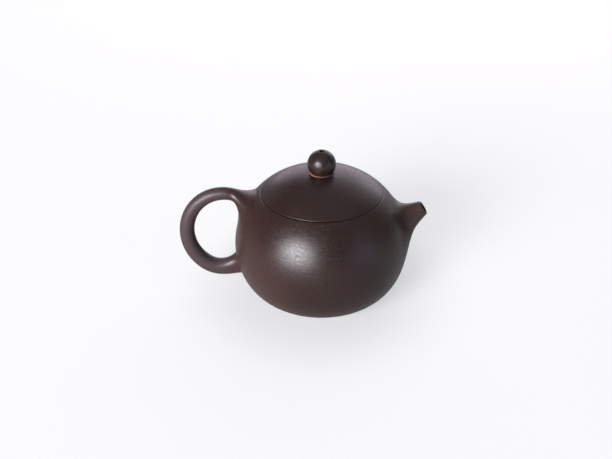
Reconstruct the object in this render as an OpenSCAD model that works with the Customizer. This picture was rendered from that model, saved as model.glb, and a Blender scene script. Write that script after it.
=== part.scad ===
// Round clay teapot with a lift-off lid, a ball knob, a ring handle and a short flared spout.
// Millimetres. Z is the pot's axis, the floor is z = 0 and the spout points along +X.
// The skin is named by its slope: the angle between its outward normal and the floor,
// 0 at the belly, 90 at the top of the lid and -90 under the foot.

/* [Body] */
// Largest radius of the body
belly_r = 44.5; // [41:0.1:48]
// Height of the largest radius above the floor
belly_z = 27.2; // [24:0.1:30]
// Radius at which the body meets the floor
foot_r = 25.2; // [22:0.1:28]
// Height of the top of the lid above the belly
crown_rise = 40.5; // [38:0.1:44]
// How much larger the radius of the crown is than the belly's
crown_flat = 5.3; // [4:0.1:8]
// Thickness of the body's wall and base
wall = 3; // [2.4:0.1:3.6]
// Radius of the base disc
base_r = 20; // [16:0.5:21.5]
// Depth that the base disc is pressed in at its centre
base_press = 1.2; // [0.6:0.1:1.8]

/* [Mouth] */
// Radius of the seam between lid and body
lid_r = 31.3; // [29:0.1:33]
// Width of the flat rim that the lid sits on
seat_w = 4.7; // [4.2:0.1:5.4]
// Thickness of the mouth ring
ring_t = 2.2; // [1.6:0.1:2.8]
// Height of the mouth ring
ring_h = 5.5; // [4:0.1:7]
// Flat on the edges of the rim and of the lid
edge_h = 0.25; // [0.2:0.05:0.6]

/* [Lid] */
// Thickness of the lid's dome
lid_wall = 3; // [2.4:0.1:3.6]
// Thickness of the plate under the dome's edge
plate_t = 1.8; // [1.4:0.1:2.2]
// Clay left above the plate's outer edge
plate_cover = 1; // [0.7:0.1:1.4]
// Depth of the flange below the seam
flange_h = 8; // [5:0.5:11]
// Thickness of the flange
flange_t = 2.4; // [1.8:0.1:3]
// Clearance between the flange and the mouth, all round
flange_gap = 0.3; // [0.2:0.05:0.5]
// Clearance between lid and rim
seat_gap = 0.05; // [0.02:0.01:0.1]
// Radius of the vent through knob and lid
vent_r = 1.2; // [0.8:0.1:1.5]

/* [Knob] */
// Radius of the ball
knob_r = 7.1; // [5.5:0.1:8]
// Height of the ball's centre above the top of the lid
knob_lift = 4.35; // [3.6:0.05:4.8]
// Width of the slip ring on the lid
slip_w = 0.7; // [0.5:0.1:1.2]
// Height of the slip ring up the ball
slip_h = 0.6; // [0.4:0.1:1]

/* [Spout] */
// Slope of the skin where the channel leaves the body
outlet_slope = 20; // [18:0.1:24]
// Climb of the channel above level
spout_climb = 34.5; // [30:0.5:40]
// Length of the channel from the skin to the tip
spout_len = 11.9; // [11:0.1:16]
// Outer radius of the tip
tip_r = 4; // [3.5:0.1:4.4]
// Rounding of the tip's edge
tip_round = 0.6; // [0.3:0.1:0.7]
// Opening angle of the outside at the tip
tip_flare = 17; // [14:0.1:22]
// Radius of the bore at the tip
bore_r = 2.8; // [2.4:0.1:3.1]
// Length of the straight bore
bore_len = 5; // [4:0.5:6]
// Radius of the channel where it meets the body
throat_r = 7; // [6:0.1:7.6]
// Slope of the skin at the top of the spout's root
spout_top_angle = 44; // [40:0.1:46]
// Slope of the skin at the middle of the spout's root
spout_mid_angle = 3.7; // [1:0.1:8]
// Slope of the skin at the bottom of the spout's root
spout_low_angle = -19.3; // [-24:0.1:-15]
// Half width of the spout's root
spout_root_w = 20; // [17:0.1:22]

/* [Strainer] */
// Radius of the hole in the wall behind the spout
outlet_r = 9; // [8.4:0.1:9.6]
// Radius of the strainer's ball
strainer_r = 12; // [11.6:0.1:13]
// Thickness of the strainer
strainer_t = 1.6; // [1.2:0.1:2]
// Depth of the strainer's inner rim under the skin
strainer_in = 1; // [0.6:0.05:1.4]
// Radius of the strainer's holes
pore_r = 0.8; // [0.5:0.1:1]

/* [Handle] */
// Distance of the ring's centre outside the belly
ring_out = 4.8; // [3:0.1:7]
// Height of the ring's centre above the belly
ring_up = 6.1; // [5:0.1:8]
// Half width of the ring, to the middle of the clay
ring_a = 19.9; // [18:0.1:23]
// Half height of the ring, to the middle of the clay
ring_b = 22.3; // [20:0.1:24]
// Radius of the clay at the top
handle_top_r = 3.2; // [2.5:0.1:3.8]
// Radius of the clay at the bottom
handle_low_r = 4.2; // [3.6:0.1:5]
// Slope of the skin at the middle of the upper root
upper_mid_angle = 33; // [30:0.1:36]
// Slope of the skin at the bottom of the upper root
upper_low_angle = 2.2; // [0:0.1:6]
// Distance of the upper root from the seam
upper_clear = 0.65; // [0.5:0.05:1.5]
// Half width of the upper root
upper_w = 16; // [13:0.1:18]
// Slope of the skin at the middle of the lower root
lower_mid_angle = -18.4; // [-22:0.1:-16]
// Slope of the skin from the middle to the top of the lower root
lower_up_angle = 10.8; // [8:0.1:14]
// Slope of the skin from the middle to the bottom of the lower root
lower_down_angle = 19; // [15:0.1:21]
// Half width of the lower root
lower_w = 5.6; // [5:0.1:7]

/* [Joints] */
// Gap of the luted joints
joint_gap = 0.1; // [0.06:0.01:0.15]
// Thickness of the thinned edges of spout and handle roots
feather = 0.3; // [0.2:0.05:0.5]

/* [Hidden] */
$fn = 96;
clay = "#3d2e2c";
slip = "#a8672f";

// Steps of the turned curves, and of the lofted spout and handle
curve_n = 24;
side_n = 40;
flare_n = 12;
tube_n = 34;
cap_n = 8;

// Arcs of the upper half: the shoulder turns into the crown without a corner
crown_r = belly_r + crown_flat;
crown_z = belly_z + crown_rise - crown_r;
shoulder_r = belly_r + crown_flat/2 - pow(belly_z - crown_z, 2)/(2*crown_flat);
shoulder_x = belly_r - shoulder_r;
crown_slope = atan2(belly_z - crown_z, shoulder_x);
top_z = belly_z + crown_rise;

// Mouth and lid
seam_z = inset(slope_r(lid_r, 0), 0).y;
mouth_r = lid_r - seat_w;
mouth_ring_r = mouth_r + ring_t;
lid_z = seam_z + seat_gap;
plate_top = lid_z + plate_t;
plate_r = inset(slope_z(plate_top + plate_cover, 0), 0).x;
flange_r = mouth_r - flange_gap;
flange_in = flange_r - flange_t;
knob_z = top_z + knob_lift;

// Spout
spout_axis = [cos(spout_climb), 0, sin(spout_climb)];
outlet = skin(0, outlet_slope, 0);
tip = outlet + spout_len*spout_axis;
throat_len = 6;
// Shares of a flare's length over which it keeps its direction, at its ring and at its root:
// along its top and bottom first, then along its sides
pull_spout = [[0.53, 0.56], [0.25, 0.35]];

// Handle
ring_x = -belly_r - ring_out;
ring_z = belly_z + ring_up;
// Where on the ring the flares to the roots begin
start_angle = 81;
end_angle = 236.6;
upper_top_angle = slope_r(lid_r, 0) - upper_clear/shoulder_r*180/PI;
pull_upper = [[0.355, 0.333], [0.22, 0.2]];
pull_lower = [[0.56, 0.18], [0.56, 0.18]];

// The skin as [radius, height], d inside the outer face, at slope t
function inset(t, d) =
    let (a = belly_r - foot_r,
        n = norm([a*cos(t), belly_z*sin(t)]),
        p = t > crown_slope ? [crown_r*cos(t), crown_z + crown_r*sin(t)]
            : t > 0 ? [shoulder_x + shoulder_r*cos(t), belly_z + shoulder_r*sin(t)]
            : [foot_r + a*a*cos(t)/n, belly_z + belly_z*belly_z*sin(t)/n])
    p - d*[cos(t), sin(t)];

// Slope at which the upper half, d inside the outer face, has a given radius or height
function slope_r(r, d) =
    let (t = acos((r - shoulder_x)/(shoulder_r - d)))
    t < crown_slope ? t : acos(r/(crown_r - d));
function slope_z(z, d) =
    let (t = asin((z - belly_z)/(shoulder_r - d)))
    t < crown_slope ? t : asin((z - crown_z)/(crown_r - d));

// Points along the skin between two slopes
function curve(t0, t1, d) = [for (i = [0:curve_n]) inset(t0 + (t1 - t0)*i/curve_n, d)];

// A point d outside the skin, turned f about the axis
function skin(f, t, d) =
    let (p = inset(t, -d))
    [p.x*cos(f), p.x*sin(f), p.y];

// An oval root on the skin: [turn, middle slope, slope up, slope down, half width].
// s is 1 on its edge and 0 in its middle, and u is 0 at its top.
function oval(root, u, s, d) =
    let (t = root[1] + s*cos(u)*(cos(u) > 0 ? root[2] : root[3]),
        f = root[0] + s*sin(u)*asin(root[4]/inset(root[1], 0).x))
    skin(f, t, d);
function oval_out(root, u) =
    let (v = oval(root, u, 1, feather) - oval(root, u, 0.98, feather))
    v/norm(v);

// A cubic curve from the ring at p, which it leaves along d, to the root, where it lies flat on the skin
function flare(root, u, p, d, pulls, v) =
    let (q = oval(root, u, 1, feather),
        len = norm(q - p),
        pull = pulls[0] + pow(sin(u), 4)*(pulls[1] - pulls[0]),
        p1 = p + pull[0]*len*d,
        p2 = q - pull[1]*len*oval_out(root, u))
    pow(1 - v, 3)*p + 3*pow(1 - v, 2)*v*p1 + 3*(1 - v)*v*v*p2 + pow(v, 3)*q;

// Rings of the face that is luted to the body, from its edge to its middle
function cap_rings(root, turns) =
    [for (i = [0:cap_n - 1]) [for (u = turns) oval(root, u, 1 - i/cap_n, joint_gap)]];

// A closed solid through rings of points, with a pointed or flat end at each side
module loft(rings, first, last) {
    n = len(rings[0]);
    end = len(rings)*n + 1;
    row = (len(rings) - 1)*n + 1;
    points = [first, for (ring = rings) each ring, last];
    faces = [
        for (j = [0:n - 1]) [0, j + 1, (j + 1)%n + 1],
        for (i = [0:len(rings) - 2], j = [0:n - 1])
            let (a = i*n + j + 1, b = i*n + (j + 1)%n + 1)
                each [[a, b + n, b], [a, a + n, b + n]],
        for (j = [0:n - 1]) [end, row + (j + 1)%n, row + j]
    ];
    polyhedron(points, faces, convexity = 6);
}

// Local Z runs out of the body through the middle of the hole behind the spout
module at_outlet() {
    translate(outlet) rotate([0, 90 - outlet_slope, 0]) children();
}

// Local Z runs out of the spout's tip
module at_tip() {
    translate(tip) rotate([0, 90 - spout_climb, 0]) children();
}

module turned_ring(r0, r1, z0, z1) {
    rotate_extrude() translate([r0, z0]) square([r1 - r0, z1 - z0]);
}

module body_wall() {
    rim_slope = slope_z(seam_z - edge_h, 0);
    ring_seat = mouth_ring_r + joint_gap;
    color(clay) difference() {
        rotate_extrude() polygon(concat(
            [[base_r, 0]],
            curve(-90, rim_slope, 0),
            [[lid_r - edge_h, seam_z], [ring_seat, seam_z]],
            curve(slope_r(ring_seat, wall), -90, wall),
            [[base_r, wall]]));
        at_outlet() translate([0, 0, -3*wall]) cylinder(r = outlet_r, h = 4*wall);
    }
}

module base_disc() {
    r = base_r - joint_gap;
    n = 8;
    press = [for (i = [0:n]) [r*i/n, base_press*(1 - pow(i/n, 2))]];
    color(clay) rotate_extrude() polygon(concat(
        press,
        [for (i = [n:-1:0]) press[i] + [0, wall]]));
}

module mouth_ring() {
    color(clay) turned_ring(mouth_r, mouth_ring_r, seam_z - ring_h, seam_z);
}

module ball_strainer() {
    rows = [[0, 1], [16, 6], [31, 12]];
    ball_out = sqrt(pow(strainer_r - strainer_t, 2) - outlet_r*outlet_r) - strainer_in;
    color(clay) at_outlet() translate([0, 0, ball_out]) difference() {
        intersection() {
            sphere(strainer_r);
            translate([0, 0, -strainer_r]) cylinder(r = outlet_r - joint_gap, h = strainer_r);
        }
        sphere(strainer_r - strainer_t);
        for (row = rows, i = [0:row[1] - 1])
            rotate([0, 0, 360*i/row[1]]) rotate([0, 180 - row[0], 0])
                translate([0, 0, strainer_r - 2*strainer_t]) cylinder(r = pore_r, h = 3*strainer_t);
    }
}

module spout() {
    root_up = spout_top_angle - spout_mid_angle;
    root_down = spout_mid_angle - spout_low_angle;
    root = [0, spout_mid_angle, root_up, root_down, spout_root_w];
    turns = [for (i = [0:side_n - 1]) 360*i/side_n];
    up = [-sin(spout_climb), 0, cos(spout_climb)];
    function out(u) = cos(u)*up + sin(u)*[0, 1, 0];
    function back(u) = sin(tip_flare)*out(u) - cos(tip_flare)*spout_axis;
    function edge(u) = tip - tip_round*spout_axis + tip_r*out(u);
    rings = concat(
        [[for (u = turns) tip + (tip_r - tip_round)*out(u)]],
        [for (i = [0:flare_n]) [for (u = turns)
            flare(root, u, edge(u), back(u), pull_spout, i/flare_n)]],
        cap_rings(root, turns));
    color(clay) difference() {
        loft(rings, tip, oval(root, 0, 0, joint_gap));
        at_tip() rotate_extrude() polygon([
            [0, tip_r], [bore_r, tip_r], [bore_r, -bore_len],
            [throat_r, -spout_len], [throat_r, -spout_len - throat_len], [0, -spout_len - throat_len]]);
    }
}

module handle() {
    upper_up = upper_top_angle - upper_mid_angle;
    upper_down = upper_mid_angle - upper_low_angle;
    upper = [180, upper_mid_angle, upper_up, upper_down, upper_w];
    lower = [180, lower_mid_angle, lower_up_angle, lower_down_angle, lower_w];
    turns = [for (i = [0:side_n - 1]) 360*i/side_n];
    low_turns = [for (u = turns) 180 - u];
    function middle(a) = [ring_x + ring_a*cos(a), 0, ring_z + ring_b*sin(a)];
    function along(a) = let (v = [-ring_a*sin(a), 0, ring_b*cos(a)]) v/norm(v);
    function away(a) = let (d = along(a)) [d.z, 0, -d.x];
    function clay_r(a) = handle_top_r
        + (handle_low_r - handle_top_r)*(a - start_angle)/(end_angle - start_angle);
    function around(a, u) = middle(a) + clay_r(a)*(cos(u)*away(a) - sin(u)*[0, 1, 0]);
    upper_cap = cap_rings(upper, turns);
    rings = concat(
        [for (i = [cap_n - 1:-1:0]) upper_cap[i]],
        [for (i = [flare_n:-1:1]) [for (u = turns)
            flare(upper, u, around(start_angle, u), -along(start_angle), pull_upper, i/flare_n)]],
        [for (i = [0:tube_n]) [for (u = turns)
            around(start_angle + (end_angle - start_angle)*i/tube_n, u)]],
        [for (i = [1:flare_n]) [for (u = turns)
            flare(lower, 180 - u, around(end_angle, u), along(end_angle), pull_lower, i/flare_n)]],
        cap_rings(lower, low_turns));
    color(clay) loft(rings, oval(upper, 0, 0, joint_gap), oval(lower, 0, 0, joint_gap));
}

module lid_dome() {
    edge_slope = slope_z(lid_z + edge_h, 0);
    notch_r = plate_r + joint_gap;
    notch_z = plate_top + joint_gap;
    color(clay) rotate_extrude() polygon(concat(
        curve(edge_slope, slope_r(vent_r, 0), 0),
        curve(slope_r(vent_r, lid_wall), slope_z(notch_z, lid_wall), lid_wall),
        [[notch_r, notch_z], [notch_r, lid_z], [inset(edge_slope, 0).x, lid_z]]));
}

module lid_plate() {
    color(clay) turned_ring(flange_in, plate_r, lid_z, plate_top);
}

module lid_flange() {
    foot_z = seam_z - flange_h;
    color(clay) rotate_extrude() polygon([
        [flange_in, lid_z - joint_gap], [flange_r, lid_z - joint_gap],
        [flange_r, foot_z + edge_h], [flange_r - edge_h, foot_z], [flange_in, foot_z]]);
}

module knob() {
    color(clay) difference() {
        translate([0, 0, knob_z]) sphere(knob_r);
        translate([0, 0, crown_z]) sphere(crown_r + joint_gap);
        translate([0, 0, top_z - knob_r]) cylinder(r = vent_r, h = 4*knob_r);
    }
}

module knob_slip_ring() {
    ball = knob_r + joint_gap;
    dome = crown_r + joint_gap;
    rise = knob_z - crown_z;
    // The circle where ball and dome, both swelled by the joint's gap, meet
    meet_z = (rise*rise + dome*dome - ball*ball)/(2*rise);
    meet_r = sqrt(dome*dome - meet_z*meet_z);
    ball_a = asin((rise - meet_z)/ball);
    dome_a = asin(meet_r/dome);
    function on_ball(k) = let (a = ball_a - k*slip_h/ball*180/PI) [ball*cos(a), knob_z - ball*sin(a)];
    function on_dome(k) = let (a = dome_a + k*slip_w/dome*180/PI) [dome*sin(a), crown_z + dome*cos(a)];
    bead = (on_ball(1) + on_dome(1))/2 + 0.1*slip_w*[1, 1];
    color(slip) rotate_extrude() polygon(concat(
        [for (k = [0:0.25:1]) on_ball(k)],
        [bead],
        [for (k = [1:-0.25:0.25]) on_dome(k)]));
}

body_wall();
base_disc();
mouth_ring();
ball_strainer();
spout();
handle();
lid_dome();
lid_plate();
lid_flange();
knob();
knob_slip_ring();
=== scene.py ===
import math

import bmesh
import bpy
import numpy as np
from mathutils import Matrix, Vector


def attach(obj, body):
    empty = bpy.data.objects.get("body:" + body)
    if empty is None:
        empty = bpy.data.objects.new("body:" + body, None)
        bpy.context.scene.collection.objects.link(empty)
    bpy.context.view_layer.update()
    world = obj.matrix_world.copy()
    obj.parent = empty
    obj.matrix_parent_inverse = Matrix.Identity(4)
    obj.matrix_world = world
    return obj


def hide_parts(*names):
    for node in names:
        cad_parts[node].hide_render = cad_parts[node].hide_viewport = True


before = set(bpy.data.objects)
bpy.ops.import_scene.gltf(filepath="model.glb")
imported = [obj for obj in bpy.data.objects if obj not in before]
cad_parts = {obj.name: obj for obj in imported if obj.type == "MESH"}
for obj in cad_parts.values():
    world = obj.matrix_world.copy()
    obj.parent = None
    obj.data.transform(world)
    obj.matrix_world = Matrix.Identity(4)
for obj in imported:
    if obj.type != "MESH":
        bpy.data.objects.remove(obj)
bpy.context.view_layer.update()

# Sizes of the pot in millimetres, as in the part's source. Z is the pot's axis, +X points to the spout.
# The skin is named by its slope, the angle of its outward normal above the floor.
MM = 0.001
BELLY_R = 44.5
BELLY_Z = 27.2
FOOT_R = 25.2
CROWN_RISE = 40.5
CROWN_FLAT = 5.3
WALL = 3.0
BASE_R = 20.0
BASE_PRESS = 1.2

LID_R = 31.3
SEAT_W = 4.7
RING_T = 2.2
RING_H = 5.5
LID_WALL = 3.0
PLATE_T = 1.8
PLATE_COVER = 1.0
FLANGE_H = 8.0
FLANGE_T = 2.4
FLANGE_GAP = 0.3
SEAT_GAP = 0.05
VENT_R = 1.2
EDGE_ROUND = 0.25
LID_EDGE_ROUND = 0.34
PLATE_ROUND = 0.1
VENT_ROUND = 0.35

KNOB_R = 7.1
KNOB_LIFT = 4.35
SLIP_W = 0.7
SLIP_H = 0.6
# How far the slip swells, as a share of its width, and in which direction
SLIP_SWELL = 0.22
SLIP_OUT = (0.75, 0.66)

OUTLET_SLOPE = 20.0
SPOUT_CLIMB = 34.5
SPOUT_LEN = 11.9
TIP_R = 4.0
TIP_FLARE = 17.0
BORE_R = 2.8
BORE_LEN = 5.0
BORE_EDGE = 0.2
LIP_LEN = 1.4
LIP_IN = 0.3
THROAT_R = 7.0
SPOUT_TOP = 44.0
SPOUT_MID = 3.7
SPOUT_LOW = -19.3
SPOUT_ROOT_W = 20.0
SPOUT_PULL = (0.53, 0.56)
SPOUT_SIDE_PULL = (0.25, 0.35)

OUTLET_R = 9.0
DRILL_LEN = 6 * WALL
STRAINER_R = 12.0
STRAINER_T = 1.6
STRAINER_IN = 1.0
PORE_R = 0.8
PORE_ROWS = ((0.0, 1), (16.0, 6), (31.0, 12))

RING_X = -BELLY_R - 4.8
RING_Z = BELLY_Z + 6.1
RING_A = 19.9
RING_B = 22.3
RING_START = 81.0
RING_END = 236.6
HANDLE_TOP_R = 3.2
HANDLE_LOW_R = 4.2
UPPER_MID = 33.0
UPPER_LOW = 2.2
UPPER_CLEAR = 0.65
UPPER_W = 16.0
UPPER_PULL = (0.355, 0.333)
UPPER_SIDE_PULL = (0.22, 0.2)
LOWER_MID = -18.4
LOWER_UP = 10.8
LOWER_DOWN = 19.0
LOWER_W = 5.6
LOWER_PULL = (0.56, 0.18)
LOWER_SIDE_PULL = (0.56, 0.18)

# The flared roots: the share of a root that gives the direction at its edge, and the shares and depths at
# which the edge then dips under the skin
ROOT_NEAR = 0.98
ROOT_DIP = ((1.03, 0.04), (1.07, 0.25))

# Camera of the photograph: a 50 mm lens on a 36 mm sensor, 31 degrees above the table
LENS_MM = 50.0
SENSOR_MM = 36.0
CAMERA_RISE = 31.03
CAMERA_AWAY = 438.9
CAMERA_ROLL = 0.185
CAMERA_AIM = (-7.83, 0.0, 34.24)

# Steps of the turned and lofted pieces
TURN_N = 192
CURVE_N = 96
ARC_N = 8
SIDE_N = 128
FLARE_N = 48
TUBE_N = 120
BASE_N = 24
CAP_N = 32
PORE_N = 32
KNOB_N = 72
KNOB_SEAT_N = 12
SLIP_N = 8
# Points closer than this many metres are one, and edges sharper than this many degrees stay sharp
MERGE = 1e-7
SHARP = 40.0

CROWN_R = BELLY_R + CROWN_FLAT
CROWN_Z = BELLY_Z + CROWN_RISE - CROWN_R
SHOULDER_R = BELLY_R + CROWN_FLAT / 2 - (BELLY_Z - CROWN_Z) ** 2 / (2 * CROWN_FLAT)
SHOULDER_X = BELLY_R - SHOULDER_R
CROWN_SLOPE = math.degrees(math.atan2(BELLY_Z - CROWN_Z, SHOULDER_X))
TOP_Z = BELLY_Z + CROWN_RISE


def cos(a):
    return np.cos(np.radians(a))


def sin(a):
    return np.sin(np.radians(a))


# The skin


def inset(slope, depth):
    """Radius and height of the profile at a slope, a depth inside the outer face."""
    t = np.asarray(slope, float)
    a = BELLY_R - FOOT_R
    n = np.hypot(a * cos(t), BELLY_Z * sin(t))
    crown, upper = t > CROWN_SLOPE, t > 0
    r = np.where(upper, SHOULDER_X + SHOULDER_R * cos(t), FOOT_R + a * a * cos(t) / n)
    z = np.where(upper, BELLY_Z + SHOULDER_R * sin(t), BELLY_Z + BELLY_Z**2 * sin(t) / n)
    r = np.where(crown, CROWN_R * cos(t), r)
    z = np.where(crown, CROWN_Z + CROWN_R * sin(t), z)
    return np.stack([r - depth * cos(t), z - depth * sin(t)], -1)


def slope_at_radius(r, depth):
    t = math.degrees(math.acos((r - SHOULDER_X) / (SHOULDER_R - depth)))
    return t if t < CROWN_SLOPE else math.degrees(math.acos(r / (CROWN_R - depth)))


def slope_at_height(z, depth):
    t = math.degrees(math.asin((z - BELLY_Z) / (SHOULDER_R - depth)))
    return t if t < CROWN_SLOPE else math.degrees(math.asin((z - CROWN_Z) / (CROWN_R - depth)))


def curve(start, end, depth):
    return inset(np.linspace(start, end, CURVE_N), depth)


def arc(centre, radius, start, end, steps=ARC_N):
    a = np.linspace(start, end, steps + 1)
    return np.asarray(centre) + radius * np.stack([cos(a), sin(a)], -1)


def skin(turn, slope, out):
    """Points above the skin, turned about the pot's axis."""
    p = inset(slope, -np.asarray(out))
    return np.stack([p[..., 0] * cos(turn), p[..., 0] * sin(turn), p[..., 1]], -1)


def oval(root, u, share, out):
    """Points on an oval root (turn, middle slope, slope up, slope down, half width), u from its top."""
    turn, middle, up, down, width = root
    slope = middle + share * cos(u) * np.where(cos(u) > 0, up, down)
    half_turn = math.degrees(math.asin(width / inset(middle, 0)[0]))
    return skin(turn + share * sin(u) * half_turn, slope, out)


def flare(root, u, start, leave, pull, side_pull):
    """Rings from a ring of points to the root, where they lie flat on the skin and then dip under it."""
    end = oval(root, u, 1.0, 0.0)
    flat = end - oval(root, u, ROOT_NEAR, 0.0)
    flat /= np.linalg.norm(flat, axis=1, keepdims=True)
    length = np.linalg.norm(end - start, axis=1, keepdims=True)
    aside = sin(u)[:, None] ** 4
    p1 = start + (pull[0] + (side_pull[0] - pull[0]) * aside) * length * leave
    p2 = end - (pull[1] + (side_pull[1] - pull[1]) * aside) * length * flat
    v = np.linspace(0, 1, FLARE_N + 1)[:, None, None]
    rings = (1 - v) ** 3 * start + 3 * (1 - v) ** 2 * v * p1 + 3 * (1 - v) * v**2 * p2 + v**3 * end
    dip = [oval(root, u, share, -depth) for share, depth in ROOT_DIP]
    return list(rings) + dip


# Meshes and pieces


def new_piece(name, mesh, body, node, material):
    piece = bpy.data.objects.new(name, mesh)
    bpy.context.scene.collection.objects.link(piece)
    mesh.materials.clear()
    mesh.materials.append(material)
    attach(piece, body)
    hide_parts(node)
    return piece


def finished(piece):
    """The plain mesh of a piece with its modifiers applied."""
    seen = piece.evaluated_get(bpy.context.evaluated_depsgraph_get())
    mesh = bpy.data.meshes.new_from_object(seen)
    mesh.name = piece.name
    return mesh


def tidied(mesh):
    """The mesh with its seams merged, its faces outward, and smooth but for its real edges."""
    bm = bmesh.new()
    bm.from_mesh(mesh)
    bmesh.ops.remove_doubles(bm, verts=bm.verts, dist=MERGE)
    bmesh.ops.recalc_face_normals(bm, faces=bm.faces)
    bm.to_mesh(mesh)
    bm.free()
    mesh.shade_smooth()
    mesh.set_sharp_from_angle(angle=math.radians(SHARP))
    return mesh


def ring_faces(rows, sides, wrap):
    """Quads between rows of points, and from the last row to the first where they wrap."""
    pairs = [(i, (i + 1) % rows) for i in range(rows if wrap else rows - 1)]
    return [
        (a * sides + j, b * sides + j, b * sides + (j + 1) % sides, a * sides + (j + 1) % sides)
        for a, b in pairs
        for j in range(sides)
    ]


def new_tree(name, inputs):
    """A geometry nodes tree with one geometry output, and the sockets of its named inputs."""
    tree = bpy.data.node_groups.new(name, "GeometryNodeTree")
    tree.interface.new_socket("Geometry", in_out="OUTPUT", socket_type="NodeSocketGeometry")
    for label, kind in inputs.items():
        tree.interface.new_socket(label, in_out="INPUT", socket_type=kind)
    return tree, add(tree, "NodeGroupInput").outputs


def end_tree(tree, geometry, material):
    whole = add(tree, "GeometryNodeRealizeInstances", {"Geometry": geometry}).outputs[0]
    done = add(tree, "GeometryNodeSetMaterial", {"Geometry": whole, "Material": material}).outputs[0]
    add(tree, "NodeGroupOutput", {"Geometry": done})


def grown(name, mesh, tree, values):
    """The plain mesh that a geometry nodes tree makes of a mesh."""
    thing = bpy.data.objects.new(name, mesh)
    bpy.context.scene.collection.objects.link(thing)
    nodes = thing.modifiers.new(tree.name, "NODES")
    nodes.node_group = tree
    for item in tree.interface.items_tree:
        if item.in_out == "INPUT" and item.name in values:
            nodes[item.identifier] = values[item.name]
    result = finished(thing)
    thing.modifiers.remove(nodes)
    bpy.data.objects.remove(thing)
    return tidied(result)


def wheel_tree():
    """Geometry nodes that turn a profile about the pot's axis, as the potter's wheel does."""
    tree, given = new_tree(
        "wheel",
        {"Profile": "NodeSocketGeometry", "Steps": "NodeSocketInt", "Clay": "NodeSocketMaterial"},
    )
    rows = add(
        tree, "GeometryNodeAttributeDomainSize", {"Geometry": given["Profile"]}, component="MESH"
    ).outputs["Point Count"]
    columns = add(tree, "FunctionNodeIntegerMath", {0: given["Steps"], 1: 1}, operation="ADD").outputs[0]
    sheet = add(tree, "GeometryNodeMeshGrid", {"Vertices X": rows, "Vertices Y": columns}).outputs["Mesh"]
    index = add(tree, "GeometryNodeInputIndex").outputs[0]
    row = add(tree, "FunctionNodeIntegerMath", {0: index, 1: columns}, operation="DIVIDE_FLOOR").outputs[0]
    column = add(tree, "FunctionNodeIntegerMath", {0: index, 1: columns}, operation="MODULO").outputs[0]
    place = add(tree, "GeometryNodeInputPosition").outputs[0]
    point = add(
        tree, "GeometryNodeSampleIndex", {"Geometry": given["Profile"], "Value": place, "Index": row},
        data_type="FLOAT_VECTOR",
    ).outputs[0]
    step = add(tree, "ShaderNodeMath", {0: 2 * math.pi, 1: given["Steps"]}, operation="DIVIDE").outputs[0]
    angle = add(tree, "ShaderNodeMath", {0: column, 1: step}, operation="MULTIPLY").outputs[0]
    around = add(
        tree, "ShaderNodeVectorRotate", {"Vector": point, "Angle": angle}, rotation_type="Z_AXIS"
    ).outputs[0]
    shell = add(tree, "GeometryNodeSetPosition", {"Geometry": sheet, "Position": around}).outputs[0]
    closed = add(tree, "GeometryNodeMergeByDistance", {"Geometry": shell, "Distance": MERGE}).outputs[0]
    end_tree(tree, closed, given["Clay"])
    return tree


def turned(name, profile):
    """A profile of radius and height, turned on the wheel and closed."""
    profile = np.concatenate([np.atleast_2d(p) for p in profile])
    if profile[0, 0] or profile[-1, 0]:
        profile = np.concatenate([profile, profile[:1]])
    points = np.stack([profile[:, 0], 0 * profile[:, 0], profile[:, 1]], -1) * MM
    wire = bpy.data.meshes.new(name)
    wire.from_pydata(points.tolist(), [(i, i + 1) for i in range(len(points) - 1)], [])
    return grown(name, wire, wheel, {"Steps": TURN_N, "Clay": clay})


def rounded_box(r0, r1, z0, z1, radius):
    """The section of a plain ring with rounded edges."""
    corners = ((r1, z0, -90), (r1, z1, 0), (r0, z1, 90), (r0, z0, 180))
    middle = np.array([(r0 + r1) / 2, (z0 + z1) / 2])
    parts = []
    for r, z, start in corners:
        corner = np.array([r, z])
        parts.append(arc(corner + radius * np.sign(middle - corner), radius, start, start + 90))
    return parts


def lofted(name, rings, wrap):
    """A solid through rings of points. Without wrap, each end is closed by a face."""
    rings = np.asarray(rings)
    rows, sides = rings.shape[:2]
    faces = ring_faces(rows, sides, wrap)
    if not wrap:
        faces += [tuple(range(sides)), tuple(range((rows - 1) * sides, rows * sides))]
    mesh = bpy.data.meshes.new(name)
    mesh.from_pydata((rings.reshape(-1, 3) * MM).tolist(), [], faces)
    return tidied(mesh)


# Materials


def linear(code):
    """A colour from its sRGB hex code."""
    parts = [int(code[i : i + 2], 16) / 255 for i in (1, 3, 5)]
    return tuple(c / 12.92 if c <= 0.04045 else ((c + 0.055) / 1.055) ** 2.4 for c in parts) + (1.0,)


def add(tree, kind, inputs=None, **settings):
    """Adds a node: settings are its properties, inputs are values or the sockets that feed it."""
    node = tree.nodes.new(kind)
    for key, value in settings.items():
        setattr(node, key, value)
    for key, value in (inputs or {}).items():
        if isinstance(value, bpy.types.NodeSocket):
            tree.links.new(value, node.inputs[key])
        else:
            node.inputs[key].default_value = value
    return node


def per_metre(size_mm):
    """The scale of a texture whose features are this large."""
    return 1 / (size_mm * MM)


def new_material(name):
    material = bpy.data.materials.new(name)
    material.use_nodes = True
    tree = material.node_tree
    tree.nodes.clear()
    return material, tree


# Marks in the clay, in millimetres. A streak is so many times as long as it is high, and a pit has the radius
# of its floor and of its edge.
STREAK_H = 0.7
STREAK_LONG = 20.0
GRAIN = 1.1
CLOUD = 24.0
PIT_APART = 15.0
PIT_R = (0.15, 0.6)
# The largest pit, in the front of the belly
FRONT_PIT = (-11.8, -39.6, 42.65)
FRONT_PIT_R = (0.4, 1.3)
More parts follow.
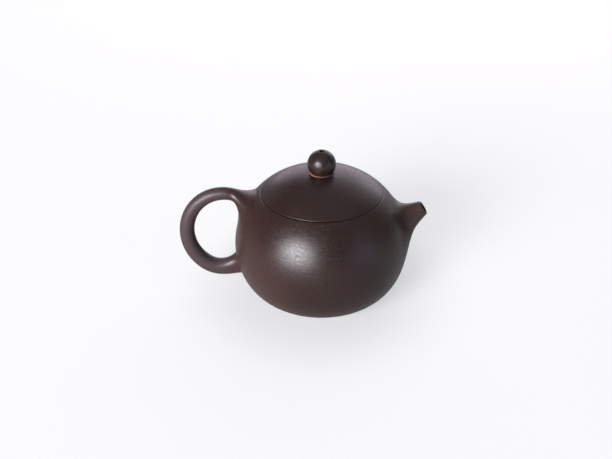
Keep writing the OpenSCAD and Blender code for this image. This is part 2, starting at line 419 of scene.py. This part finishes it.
# Tones of the clay, by the distance in millimetres along a slant from the spout's tip to the handle, and how
# far the clouds of the firing move them. The clouds are the clay's own tone; the change along the slant is
# painted light.
TONES_WITH_PAINTED_LIGHT = (
    (-80, "#3b2b26"), (-58, "#34251f"), (-46, "#291b19"), (-35, "#271915"), (-5, "#2d1c19"),
    (18, "#3b2622"), (50, "#473132"),
)
PAINTED_LIGHT_SLANT = (-1.0, 0.0, -0.6)
CLOUD_SHIFT = 30.0
SAND_TONE = "#443230"
# Painted shade inside the pits
PIT_PAINTED_SHADE_TONE = "#1b1413"
# The handle's painted sheen and its rougher finish begin between these two places on X
HANDLE_FROM = -44.0
HANDLE_TO = -52.0
HANDLE_PAINTED_SHEEN_TONE = "#463839"
HANDLE_ROUGH = 0.1
STREAK_ROUGH = 0.12


def brown_stoneware():
    """Iron-rich sandy clay, fired unglazed and burnished with a bone tool: satin, with fine level streaks."""
    material, tree = new_material("stoneware_unglazed_burnished_brown")
    place = add(tree, "ShaderNodeTexCoord").outputs["Object"]
    # Level streaks of the burnishing tool, long around the pot, drawn coarser than life so that they show
    along = 1 / STREAK_LONG
    level = add(tree, "ShaderNodeMapping", {"Vector": place, "Scale": (along, along, 1.0)}).outputs[0]
    streaks = add(
        tree, "ShaderNodeTexNoise",
        {"Vector": level, "Scale": per_metre(STREAK_H), "Detail": 3.0, "Roughness": 0.6},
    ).outputs[0]
    # Sand grains under the skin, drawn at about a millimetre so that they show
    grains = add(
        tree, "ShaderNodeTexNoise",
        {"Vector": place, "Scale": per_metre(GRAIN), "Detail": 2.0, "Roughness": 0.65},
    ).outputs[0]
    # Cloudy firing, in patches of a few centimetres
    clouds = add(
        tree, "ShaderNodeTexNoise",
        {"Vector": place, "Scale": per_metre(CLOUD), "Detail": 2.0, "Roughness": 0.5},
    ).outputs[0]
    # Pits where a grain has fallen out, few and about a millimetre wide
    pit_way = add(
        tree, "ShaderNodeTexVoronoi", {"Vector": place, "Scale": per_metre(PIT_APART), "Randomness": 1.0}
    ).outputs["Distance"]
    pit_floor, pit_edge = (radius / PIT_APART for radius in PIT_R)
    small_pits = add(
        tree, "ShaderNodeMapRange",
        {"Value": pit_way, "From Min": pit_floor, "From Max": pit_edge, "To Min": 0.7, "To Max": 0.0},
    ).outputs[0]
    front_way = add(
        tree, "ShaderNodeVectorMath", {0: place, 1: Vector(FRONT_PIT) * MM}, operation="DISTANCE"
    ).outputs["Value"]
    front_floor, front_edge = (radius * MM for radius in FRONT_PIT_R)
    front_pit = add(
        tree, "ShaderNodeMapRange",
        {"Value": front_way, "From Min": front_floor, "From Max": front_edge, "To Min": 0.8, "To Max": 0.0},
        interpolation_type="SMOOTHSTEP",
    ).outputs[0]
    pits = add(tree, "ShaderNodeMath", {0: small_pits, 1: front_pit}, operation="MAXIMUM").outputs[0]
    # Painted light: paler towards the handle, the lower left and the spout's tip, and darkest from the lid to
    # the right
    painted_light_slant = add(
        tree, "ShaderNodeVectorMath", {0: place, 1: PAINTED_LIGHT_SLANT}, operation="DOT_PRODUCT"
    ).outputs["Value"]
    way = add(
        tree, "ShaderNodeMath", {0: clouds, 1: CLOUD_SHIFT * MM, 2: painted_light_slant}, operation="MULTIPLY_ADD"
    ).outputs[0]
    start = TONES_WITH_PAINTED_LIGHT[0][0]
    end = TONES_WITH_PAINTED_LIGHT[-1][0]
    middle = CLOUD_SHIFT / 2
    share = add(
        tree, "ShaderNodeMapRange",
        {"Value": way, "From Min": (start + middle) * MM, "From Max": (end + middle) * MM},
    ).outputs[0]
    ramp = add(tree, "ShaderNodeValToRGB", {"Fac": share})
    stops = ramp.color_ramp.elements
    for at, code in TONES_WITH_PAINTED_LIGHT[1:-1]:
        stops.new((at - start) / (end - start)).color = linear(code)
    stops[0].color = linear(TONES_WITH_PAINTED_LIGHT[0][1])
    stops[-1].color = linear(TONES_WITH_PAINTED_LIGHT[-1][1])
    # Painted sheen: the handle's tone is greyer, for light that it reflects. The tool hardly reaches the
    # handle, so it is also less polished
    side = add(tree, "ShaderNodeSeparateXYZ", {"Vector": place}).outputs["X"]
    handle = add(
        tree, "ShaderNodeMapRange", {"Value": side, "From Min": HANDLE_FROM * MM, "From Max": HANDLE_TO * MM}
    ).outputs[0]
    clouds_and_painted_light = add(
        tree, "ShaderNodeMix", {0: handle, 6: ramp.outputs["Color"], 7: linear(HANDLE_PAINTED_SHEEN_TONE)}, data_type="RGBA"
    ).outputs[2]
    speck = add(tree, "ShaderNodeMapRange", {"Value": grains, "From Min": 0.64, "From Max": 0.84}).outputs[0]
    sand_colour = add(
        tree, "ShaderNodeMix", {0: speck, 6: clouds_and_painted_light, 7: linear(SAND_TONE)}, data_type="RGBA"
    ).outputs[2]
    # Painted shade: the pits are coloured darker inside
    colour = add(
        tree, "ShaderNodeMix", {0: pits, 6: sand_colour, 7: linear(PIT_PAINTED_SHADE_TONE)}, data_type="RGBA"
    ).outputs[2]
    rough_grain = add(
        tree, "ShaderNodeMapRange",
        {"Value": grains, "From Min": 0.3, "From Max": 0.7, "To Min": 0.2, "To Max": 0.36},
    ).outputs[0]
    rough_skin = add(
        tree, "ShaderNodeMath", {0: streaks, 1: STREAK_ROUGH, 2: rough_grain}, operation="MULTIPLY_ADD"
    ).outputs[0]
    rough = add(
        tree, "ShaderNodeMath", {0: handle, 1: HANDLE_ROUGH, 2: rough_skin}, operation="MULTIPLY_ADD"
    ).outputs[0]
    streak_bump = add(
        tree, "ShaderNodeBump", {"Height": streaks, "Strength": 0.6, "Distance": 0.07 * MM}
    ).outputs[0]
    grain_bump = add(
        tree, "ShaderNodeBump",
        {"Height": grains, "Normal": streak_bump, "Strength": 0.6, "Distance": 0.025 * MM},
    ).outputs[0]
    pit_bump = add(
        tree, "ShaderNodeBump",
        {"Height": pits, "Normal": grain_bump, "Strength": 0.7, "Distance": 0.12 * MM},
        invert=True,
    ).outputs[0]
    clay = add(
        tree, "ShaderNodeBsdfPrincipled",
        {"Base Color": colour, "Roughness": rough, "Normal": pit_bump, "IOR": 1.5},
    ).outputs[0]
    add(tree, "ShaderNodeOutputMaterial", {"Surface": clay})
    return material


# Slip under the knob: blotches and grit in millimetres, the places on X between which it goes from shaded to
# lit, and its dark and its full tone. The blotches are where it was wiped; the change along X is painted
# light.
SLIP_BLOTCH = 4.0
SLIP_GRIT = 0.4
SLIP_SHADED_X = 2.5
SLIP_LIT_X = -5.0
SLIP_WIPED_AND_SHADED = "#483629"
SLIP_AMBER = "#93623a"


def amber_slip():
    """Thin slip squeezed out of the joint, fired amber: matt, darker where wiped, painted lighter on the lit
    side.
    """
    material, tree = new_material("slip_fired_amber")
    place = add(tree, "ShaderNodeTexCoord").outputs["Object"]
    wiped = add(
        tree, "ShaderNodeTexNoise",
        {"Vector": place, "Scale": per_metre(SLIP_BLOTCH), "Detail": 2.0, "Roughness": 0.5},
    ).outputs[0]
    # Painted light: brighter on the handle's side, where the light falls, and darker on the other
    side = add(tree, "ShaderNodeSeparateXYZ", {"Vector": place}).outputs["X"]
    lit_side = add(
        tree, "ShaderNodeMapRange",
        {
            "Value": side, "From Min": SLIP_SHADED_X * MM, "From Max": SLIP_LIT_X * MM,
            "To Min": -0.35, "To Max": 0.35,
        },
    ).outputs[0]
    kept_and_lit = add(tree, "ShaderNodeMath", {0: wiped, 1: lit_side}, operation="ADD").outputs[0]
    share = add(tree, "ShaderNodeMapRange", {"Value": kept_and_lit, "From Min": 0.3, "From Max": 0.85}).outputs[0]
    colour = add(
        tree, "ShaderNodeMix", {0: share, 6: linear(SLIP_WIPED_AND_SHADED), 7: linear(SLIP_AMBER)}, data_type="RGBA"
    ).outputs[2]
    grit = add(
        tree, "ShaderNodeTexNoise",
        {"Vector": place, "Scale": per_metre(SLIP_GRIT), "Detail": 2.0, "Roughness": 0.5},
    ).outputs[0]
    bump = add(tree, "ShaderNodeBump", {"Height": grit, "Strength": 0.6, "Distance": 0.04 * MM}).outputs[0]
    slip = add(
        tree, "ShaderNodeBsdfPrincipled",
        {"Base Color": colour, "Roughness": 0.55, "Normal": bump, "IOR": 1.5},
    ).outputs[0]
    add(tree, "ShaderNodeOutputMaterial", {"Surface": slip})
    return material


# White of the room behind the table
ROOM_WHITE = "#fcfcfe"
# Paper on the table: its tone as the pot sees it, its tone and glow as the camera sees it, and the share
# of the glow that the clay mirrors
PAPER_TONE = "#bdbdbc"
# The thin paper is a little warm and the glow a little blue, which paints a blue tint into the pot's shadow
THIN_PAPER_TONE = "#b2aeaa"
GLOW_TONE = "#f9fcff"
GLOW_MIRRORED = 0.14
# The glow's level beside the pot, lower there as a painted shadow, and clear of it, and the distances in
# millimetres between which it rises and between which the paper fades into the room
GLOW_IN_PAINTED_SHADOW = 0.53
GLOW_FULL = 0.66
GLOW_RISE = (35.0, 85.0)
PAPER_FADE = (350.0, 850.0)


def seen_share(tree, mirrored):
    """How much of the background's white a ray meets: all of it from the camera, and a share in the gloss."""
    rays = add(tree, "ShaderNodeLightPath").outputs
    faint = add(
        tree, "ShaderNodeMath", {0: rays["Is Glossy Ray"], 1: mirrored}, operation="MULTIPLY"
    ).outputs[0]
    direct = add(
        tree, "ShaderNodeMath", {0: rays["Is Camera Ray"], 1: rays["Is Transmission Ray"]},
        operation="MAXIMUM",
    ).outputs[0]
    return add(tree, "ShaderNodeMath", {0: direct, 1: faint}, operation="MAXIMUM").outputs[0]


def white_paper():
    """Matt seamless paper, lit from behind: it looks near white and keeps the pot's soft shadow."""
    material, tree = new_material("paper_seamless_white")
    # The clay mirrors only a little of the glow, as it does of a paper that is lit from above
    seen = seen_share(tree, GLOW_MIRRORED)
    paper = add(
        tree, "ShaderNodeBsdfPrincipled", {"Base Color": linear(PAPER_TONE), "Roughness": 0.9, "IOR": 1.3}
    ).outputs[0]
    # Painted shadow: the glow is weaker close to the pot, which stands in its way
    place = add(tree, "ShaderNodeTexCoord").outputs["Object"]
    away = add(tree, "ShaderNodeVectorMath", {0: place}, operation="LENGTH").outputs["Value"]
    near, clear = (distance * MM for distance in GLOW_RISE)
    level = add(
        tree, "ShaderNodeMapRange",
        {"Value": away, "From Min": near, "From Max": clear, "To Min": GLOW_IN_PAINTED_SHADOW, "To Max": GLOW_FULL},
        interpolation_type="SMOOTHSTEP",
    ).outputs[0]
    glow = add(tree, "ShaderNodeEmission", {"Color": linear(GLOW_TONE), "Strength": level}).outputs[0]
    thin_paper = add(
        tree, "ShaderNodeBsdfPrincipled",
        {"Base Color": linear(THIN_PAPER_TONE), "Roughness": 0.9, "IOR": 1.3},
    ).outputs[0]
    lit = add(tree, "ShaderNodeAddShader", {0: thin_paper, 1: glow}).outputs[0]
    # Far from the pot and its shadow the sheet goes over into the white of the room
    fade_start, fade_end = (distance * MM for distance in PAPER_FADE)
    fade = add(
        tree, "ShaderNodeMapRange", {"Value": away, "From Min": fade_start, "From Max": fade_end},
        interpolation_type="SMOOTHSTEP",
    ).outputs[0]
    far = add(tree, "ShaderNodeEmission", {"Color": linear(ROOM_WHITE), "Strength": 1.0}).outputs[0]
    shown = add(tree, "ShaderNodeMixShader", {0: fade, 1: lit, 2: far}).outputs[0]
    surface = add(tree, "ShaderNodeMixShader", {0: seen, 1: paper, 2: shown}).outputs[0]
    add(tree, "ShaderNodeOutputMaterial", {"Surface": surface})
    return material


clay = brown_stoneware()
slip = amber_slip()
wheel = wheel_tree()


def clay_piece(name, mesh, body, node):
    return new_piece(name, mesh, body, node, clay)


# The pot

SEAM_Z = float(inset(slope_at_radius(LID_R, 0), 0)[1])
MOUTH_R = LID_R - SEAT_W
MOUTH_RING_R = MOUTH_R + RING_T
OUTLET = skin(0, OUTLET_SLOPE, 0)
SPOUT_AXIS = np.array([cos(SPOUT_CLIMB), 0, sin(SPOUT_CLIMB)])
TIP = OUTLET + SPOUT_LEN * SPOUT_AXIS


def at_outlet():
    """The place of the hole behind the spout, with local Z out of the body."""
    turn = Matrix.Rotation(math.radians(90 - OUTLET_SLOPE), 4, "Y")
    return Matrix.Translation(Vector(OUTLET * MM)) @ turn


def wall():
    rim = slope_at_height(SEAM_Z - EDGE_ROUND, EDGE_ROUND)
    profile = [
        (BASE_R, 0),
        curve(-90, rim, 0),
        arc(inset(rim, EDGE_ROUND), EDGE_ROUND, rim, 90),
        (MOUTH_RING_R, SEAM_Z),
        curve(slope_at_radius(MOUTH_RING_R, WALL), -90, WALL),
        (BASE_R, WALL),
    ]
    shell = bpy.data.objects.new("shell", turned("shell", profile))
    drill_mesh = bpy.data.meshes.new("drill")
    bm = bmesh.new()
    bmesh.ops.create_cone(
        bm, cap_ends=True, segments=SIDE_N, radius1=OUTLET_R * MM, radius2=OUTLET_R * MM,
        depth=DRILL_LEN * MM, matrix=at_outlet(),
    )
    bm.to_mesh(drill_mesh)
    bm.free()
    drill = bpy.data.objects.new("drill", drill_mesh)
    for thing in (shell, drill):
        bpy.context.scene.collection.objects.link(thing)
    cut = shell.modifiers.new("outlet", "BOOLEAN")
    cut.object = drill
    cut.solver = "EXACT"
    mesh = finished(shell)
    shell.modifiers.remove(cut)
    for thing in (shell, drill):
        bpy.data.objects.remove(thing)
    mesh.set_sharp_from_angle(angle=math.radians(SHARP))
    mesh.name = "pot_wall"
    return clay_piece("pot_wall", mesh, "pot", "body_wall")


def base():
    share = np.linspace(0, 1, BASE_N + 1)
    under = np.stack([BASE_R * share, BASE_PRESS * (1 - share**2)], -1)
    mesh = turned("pot_base", [under, under[::-1] + [0, WALL]])
    return clay_piece("pot_base", mesh, "pot", "base_disc")


def mouth_ring():
    section = rounded_box(MOUTH_R, MOUTH_RING_R, SEAM_Z - RING_H, SEAM_Z, EDGE_ROUND)
    # The outer edge runs flush into the rim of the wall
    section[1] = np.array([[MOUTH_RING_R, SEAM_Z]])
    return clay_piece("pot_mouth_ring", turned("pot_mouth_ring", section), "pot", "mouth_ring")


def spout():
    root = (0, SPOUT_MID, SPOUT_TOP - SPOUT_MID, SPOUT_MID - SPOUT_LOW, SPOUT_ROOT_W)
    u = np.arange(SIDE_N) * 360 / SIDE_N
    up = np.array([-sin(SPOUT_CLIMB), 0, cos(SPOUT_CLIMB)])
    out = cos(u)[:, None] * up + sin(u)[:, None] * np.array([0, 1, 0])
    lip_top = BORE_R + LIP_IN
    lip_out = TIP_R - lip_top

    def ring(radius, depth):
        return TIP - depth * SPOUT_AXIS + radius * out

    # The lip is a quarter of an oval that the outside runs into without a corner, then a small round edge
    lip_start = math.degrees(math.atan(math.tan(math.radians(TIP_FLARE)) * LIP_LEN / lip_out))
    outer_turns = np.linspace(lip_start, 90, 2 * ARC_N + 1)
    inner_turns = np.linspace(90, 180, ARC_N + 1)[1:]
    lip_rings = [ring(lip_top + lip_out * cos(a), LIP_LEN * (1 - sin(a))) for a in outer_turns]
    lip_rings += [ring(lip_top + LIP_IN * cos(a), LIP_IN * (1 - sin(a))) for a in inner_turns]
    leave = sin(TIP_FLARE) * out - cos(TIP_FLARE) * SPOUT_AXIS
    outside = flare(root, u, lip_rings[0], leave, SPOUT_PULL, SPOUT_SIDE_PULL)[::-1]
    channel = [ring(BORE_R, BORE_LEN - BORE_EDGE), ring(BORE_R, BORE_LEN), ring(THROAT_R, SPOUT_LEN)]
    end = ring(THROAT_R, SPOUT_LEN + WALL)
    mesh = lofted("pot_spout", outside + lip_rings[1:] + channel + [end], True)
    return clay_piece("pot_spout", mesh, "pot", "spout")


def handle():
    upper_top = slope_at_radius(LID_R, 0) - math.degrees(UPPER_CLEAR / SHOULDER_R)
    upper = (180, UPPER_MID, upper_top - UPPER_MID, UPPER_MID - UPPER_LOW, UPPER_W)
    lower = (180, LOWER_MID, LOWER_UP, LOWER_DOWN, LOWER_W)
    u = np.arange(SIDE_N) * 360 / SIDE_N
    a = np.linspace(RING_START, RING_END, TUBE_N + 1)
    middle = np.stack([RING_X + RING_A * cos(a), 0 * a, RING_Z + RING_B * sin(a)], -1)
    along = np.stack([-RING_A * sin(a), 0 * a, RING_B * cos(a)], -1)
    along /= np.linalg.norm(along, axis=1, keepdims=True)
    away = np.stack([along[:, 2], 0 * a, -along[:, 0]], -1)
    radius = np.linspace(HANDLE_TOP_R, HANDLE_LOW_R, TUBE_N + 1)
    across = cos(u)[:, None] * away[:, None] - sin(u)[:, None] * np.array([0, 1, 0])
    tube = middle[:, None] + radius[:, None, None] * across
    into_upper = flare(upper, u, tube[0], -along[0], UPPER_PULL, UPPER_SIDE_PULL)
    into_lower = flare(lower, 180 - u, tube[-1], along[-1], LOWER_PULL, LOWER_SIDE_PULL)
    mesh = lofted("pot_handle", into_upper[:0:-1] + list(tube) + into_lower[1:], False)
    return clay_piece("pot_handle", mesh, "pot", "handle")


def pore_tree():
    """Geometry nodes that pierce a cap with rows of round pores, each pointing at the ball's centre."""
    tree, given = new_tree(
        "pores",
        {
            "Cap": "NodeSocketGeometry", "Ball radius": "NodeSocketFloat",
            "Pore radius": "NodeSocketFloat", "Clay": "NodeSocketMaterial",
        },
    )
    radius = given["Ball radius"]
    rows = add(tree, "GeometryNodeJoinGeometry")
    for angle, count in PORE_ROWS:
        aside = float(sin(angle))
        below = float(-cos(angle))
        out = add(tree, "ShaderNodeMath", {0: radius, 1: aside}, operation="MULTIPLY").outputs[0]
        down = add(tree, "ShaderNodeMath", {0: radius, 1: below}, operation="MULTIPLY").outputs[0]
        lift = add(tree, "ShaderNodeCombineXYZ", {"Z": down}).outputs[0]
        if count == 1:
            row = add(tree, "GeometryNodeMeshLine", {"Count": 1, "Start Location": lift}).outputs[0]
        else:
            circle = add(tree, "GeometryNodeMeshCircle", {"Vertices": count, "Radius": out}).outputs[0]
            row = add(tree, "GeometryNodeTransform", {"Geometry": circle, "Translation": lift}).outputs[0]
        tree.links.new(row, rows.inputs[0])
    where = add(tree, "GeometryNodeInputPosition").outputs[0]
    aim = add(tree, "FunctionNodeAlignRotationToVector", {"Vector": where}, axis="Z").outputs[0]
    pin = add(
        tree, "GeometryNodeMeshCylinder",
        {"Vertices": PORE_N, "Radius": given["Pore radius"], "Depth": 4 * STRAINER_T * MM},
    ).outputs["Mesh"]
    pins = add(
        tree, "GeometryNodeInstanceOnPoints", {"Points": rows.outputs[0], "Instance": pin, "Rotation": aim}
    ).outputs[0]
    solid_pins = add(tree, "GeometryNodeRealizeInstances", {"Geometry": pins}).outputs[0]
    pierced = add(
        tree, "GeometryNodeMeshBoolean", {"Mesh 1": given["Cap"], "Mesh 2": solid_pins},
        operation="DIFFERENCE", solver="EXACT",
    ).outputs["Mesh"]
    end_tree(tree, pierced, given["Clay"])
    return tree


def strainer():
    inner = STRAINER_R - STRAINER_T
    ball_out = math.sqrt(inner**2 - OUTLET_R**2) - STRAINER_IN
    outer_edge = -math.degrees(math.acos(OUTLET_R / STRAINER_R))
    inner_edge = -math.degrees(math.acos(OUTLET_R / inner))
    section = [
        arc((0, 0), STRAINER_R, -90, outer_edge, CAP_N),
        arc((0, 0), inner, inner_edge, -90, CAP_N),
    ]
    section[0][0, 0] = section[1][-1, 0] = 0
    values = {"Ball radius": STRAINER_R * MM, "Pore radius": PORE_R * MM, "Clay": clay}
    mesh = grown("pot_strainer", turned("cap", section), pore_tree(), values)
    mesh.transform(at_outlet() @ Matrix.Translation((0, 0, ball_out * MM)))
    return clay_piece("pot_strainer", mesh, "pot", "ball_strainer")


# The lid

LID_Z = SEAM_Z + SEAT_GAP
PLATE_TOP = LID_Z + PLATE_T
PLATE_R = float(inset(slope_at_height(PLATE_TOP + PLATE_COVER, 0), 0)[0])
FLANGE_R = MOUTH_R - FLANGE_GAP
FLANGE_IN = FLANGE_R - FLANGE_T
KNOB_Z = TOP_Z + KNOB_LIFT
# Where the ball of the knob meets the dome, above the dome's centre
KNOB_RISE = KNOB_Z - CROWN_Z
KNOB_MEET = (KNOB_RISE**2 + CROWN_R**2 - KNOB_R**2) / (2 * KNOB_RISE)


def lid_dome():
    edge = slope_at_height(LID_Z + LID_EDGE_ROUND, LID_EDGE_ROUND)
    profile = [
        arc(inset(edge, LID_EDGE_ROUND), LID_EDGE_ROUND, -90, edge),
        curve(edge, slope_at_radius(VENT_R, 0), 0)[1:],
        curve(slope_at_radius(VENT_R, LID_WALL), slope_at_height(PLATE_TOP, LID_WALL), LID_WALL),
        (PLATE_R, PLATE_TOP),
        (PLATE_R, LID_Z),
    ]
    return clay_piece("lid_shell", turned("lid_shell", profile), "lid", "lid_dome")


def lid_plate():
    section = rounded_box(FLANGE_IN, PLATE_R, LID_Z, PLATE_TOP, PLATE_ROUND)
    return clay_piece("lid_seat_plate", turned("lid_seat_plate", section), "lid", "lid_plate")


def lid_flange():
    section = rounded_box(FLANGE_IN, FLANGE_R, SEAM_Z - FLANGE_H, LID_Z, EDGE_ROUND)
    section[1] = np.array([[FLANGE_R, LID_Z]])
    section[2] = np.array([[FLANGE_IN, LID_Z]])
    return clay_piece("lid_collar", turned("lid_collar", section), "lid", "lid_flange")


def knob():
    seat = -math.degrees(math.asin((KNOB_RISE - KNOB_MEET) / KNOB_R))
    rim_r = VENT_R + VENT_ROUND
    rim_z = math.sqrt((KNOB_R - VENT_ROUND) ** 2 - rim_r**2)
    rim_turn = math.degrees(math.atan2(rim_z, rim_r))
    seat_r = KNOB_R * cos(seat)
    low = np.linspace(seat_r, VENT_R, KNOB_SEAT_N)
    under = np.stack([low, CROWN_Z + np.sqrt(CROWN_R**2 - low**2)], -1)
    profile = [
        arc((rim_r, KNOB_Z + rim_z), VENT_ROUND, 180, rim_turn),
        arc((0, KNOB_Z), KNOB_R, rim_turn, seat, KNOB_N)[1:],
        under[1:],
    ]
    return clay_piece("lid_knob", turned("lid_knob", profile), "lid", "knob")


def slip_ring():
    meet_r = math.sqrt(CROWN_R**2 - KNOB_MEET**2)
    up_ball = -math.degrees(math.asin((KNOB_RISE - KNOB_MEET) / KNOB_R) - SLIP_H / KNOB_R)
    down_dome = math.degrees(math.acos(meet_r / CROWN_R) - SLIP_W / CROWN_R)
    top = arc((0, KNOB_Z), KNOB_R, up_ball, up_ball, 0)[0]
    foot = arc((0, CROWN_Z), CROWN_R, down_dome, down_dome, 0)[0]
    along = np.linspace(0, 1, SLIP_N + 1)[:, None]
    swell = SLIP_SWELL * SLIP_W * np.array(SLIP_OUT)
    bead = top + along * (foot - top) + 4 * along * (1 - along) * swell
    corner = (meet_r, CROWN_Z + KNOB_MEET)
    mesh = turned("lid_slip_ring", [bead, corner])
    return new_piece("lid_slip_ring", mesh, "lid", "knob_slip_ring", slip)


for make in (
    wall, base, mouth_ring, spout, handle, strainer,
    lid_dome, lid_plate, lid_flange, knob, slip_ring,
):
    make()


# Table, light and camera

# Half the side of the table, in metres
TABLE_HALF = 4.0
# Light of the room on the pot, and the share of its white that the clay mirrors
ROOM_TINT = "#e2eefa"
ROOM_LEVEL = 0.08
ROOM_MIRRORED = 0.05
# Soft lights: name, azimuth, rise, metres away, degrees across, degrees high, level and colour
LIGHTS = (
    ("window", -34, 14, 3.0, 45, 38, 9.2, "#fbf9ff"),
    ("window_middle", -34, 20, 3.0, 24, 23, 13.2, "#fbf9ff"),
    ("back_wall", 173, 18, 0.9, 68, 40, 1.5, "#ffeffc"),
    ("back_left", -135, 18, 0.9, 34, 40, 0.22, "#ffffff"),
    ("back_right", 135, 18, 0.9, 34, 40, 0.47, "#ffffff"),
    ("right_card", 55, 9, 0.9, 45, 20, 0.98, "#b4d3ff"),
    ("right_high", 60, 32, 0.9, 40, 24, 0.17, "#ffffff"),
    ("back_high", 158, 45, 0.9, 60, 24, 0.5, "#ffeffc"),
    ("ceiling", 0, 89, 0.9, 68, 68, 0.2, "#ffffff"),
)


def table():
    mesh = bpy.data.meshes.new("table")
    half = TABLE_HALF
    mesh.from_pydata(
        [(-half, -half, 0), (half, -half, 0), (half, half, 0), (-half, half, 0)], [], [(0, 1, 2, 3)]
    )
    mesh.materials.append(white_paper())
    sheet = bpy.data.objects.new("table", mesh)
    bpy.context.scene.collection.objects.link(sheet)


def soft_light(name, azimuth, rise, away, across, high, level, code):
    """An oval light that faces the pot.

    Azimuth runs from the camera's side to the right, across and high are the angles that the light fills
    as the pot sees it, and level is how bright it looks, where 1 is white paper.
    """
    data = bpy.data.lights.new(name, "AREA")
    data.shape = "ELLIPSE"
    data.size = 2 * away * math.tan(math.radians(across / 2))
    data.size_y = 2 * away * math.tan(math.radians(high / 2))
    data.energy = level * math.pi * (math.pi / 4 * data.size * data.size_y)
    data.color = linear(code)[:3]
    lamp = bpy.data.objects.new(name, data)
    towards = np.array([sin(azimuth) * cos(rise), -cos(azimuth) * cos(rise), sin(rise)])
    aim = Vector((0, 0, BELLY_Z * MM))
    lamp.location = aim + away * Vector(towards)
    lamp.rotation_mode = "QUATERNION"
    lamp.rotation_quaternion = (aim - lamp.location).to_track_quat("-Z", "Y")
    bpy.context.scene.collection.objects.link(lamp)


def studio():
    world = bpy.data.worlds.new("studio")
    bpy.context.scene.world = world
    world.use_nodes = True
    tree = world.node_tree
    tree.nodes.clear()
    # The room is dim where it lights the pot, and white where the camera looks past the paper
    seen = seen_share(tree, ROOM_MIRRORED)
    room = add(
        tree, "ShaderNodeBackground", {"Color": linear(ROOM_TINT), "Strength": ROOM_LEVEL}
    ).outputs[0]
    white = add(tree, "ShaderNodeBackground", {"Color": linear(ROOM_WHITE), "Strength": 1.0}).outputs[0]
    sky = add(tree, "ShaderNodeMixShader", {0: seen, 1: room, 2: white}).outputs[0]
    add(tree, "ShaderNodeOutputWorld", {"Surface": sky})
    for row in LIGHTS:
        soft_light(*row)


def camera():
    data = bpy.data.cameras.new("camera")
    data.lens = LENS_MM
    data.sensor_width = SENSOR_MM
    eye = bpy.data.objects.new("camera", data)
    aim = Vector(CAMERA_AIM) * MM
    back = Vector((0, -cos(CAMERA_RISE), sin(CAMERA_RISE)))
    eye.location = aim + CAMERA_AWAY * MM * back
    roll = Matrix.Rotation(math.radians(-CAMERA_ROLL), 3, "Z")
    eye.rotation_euler = ((-back).to_track_quat("-Z", "Y").to_matrix() @ roll).to_euler()
    bpy.context.scene.collection.objects.link(eye)
    bpy.context.scene.camera = eye


table()
studio()
camera()
bpy.context.scene.view_settings.view_transform = "Standard"
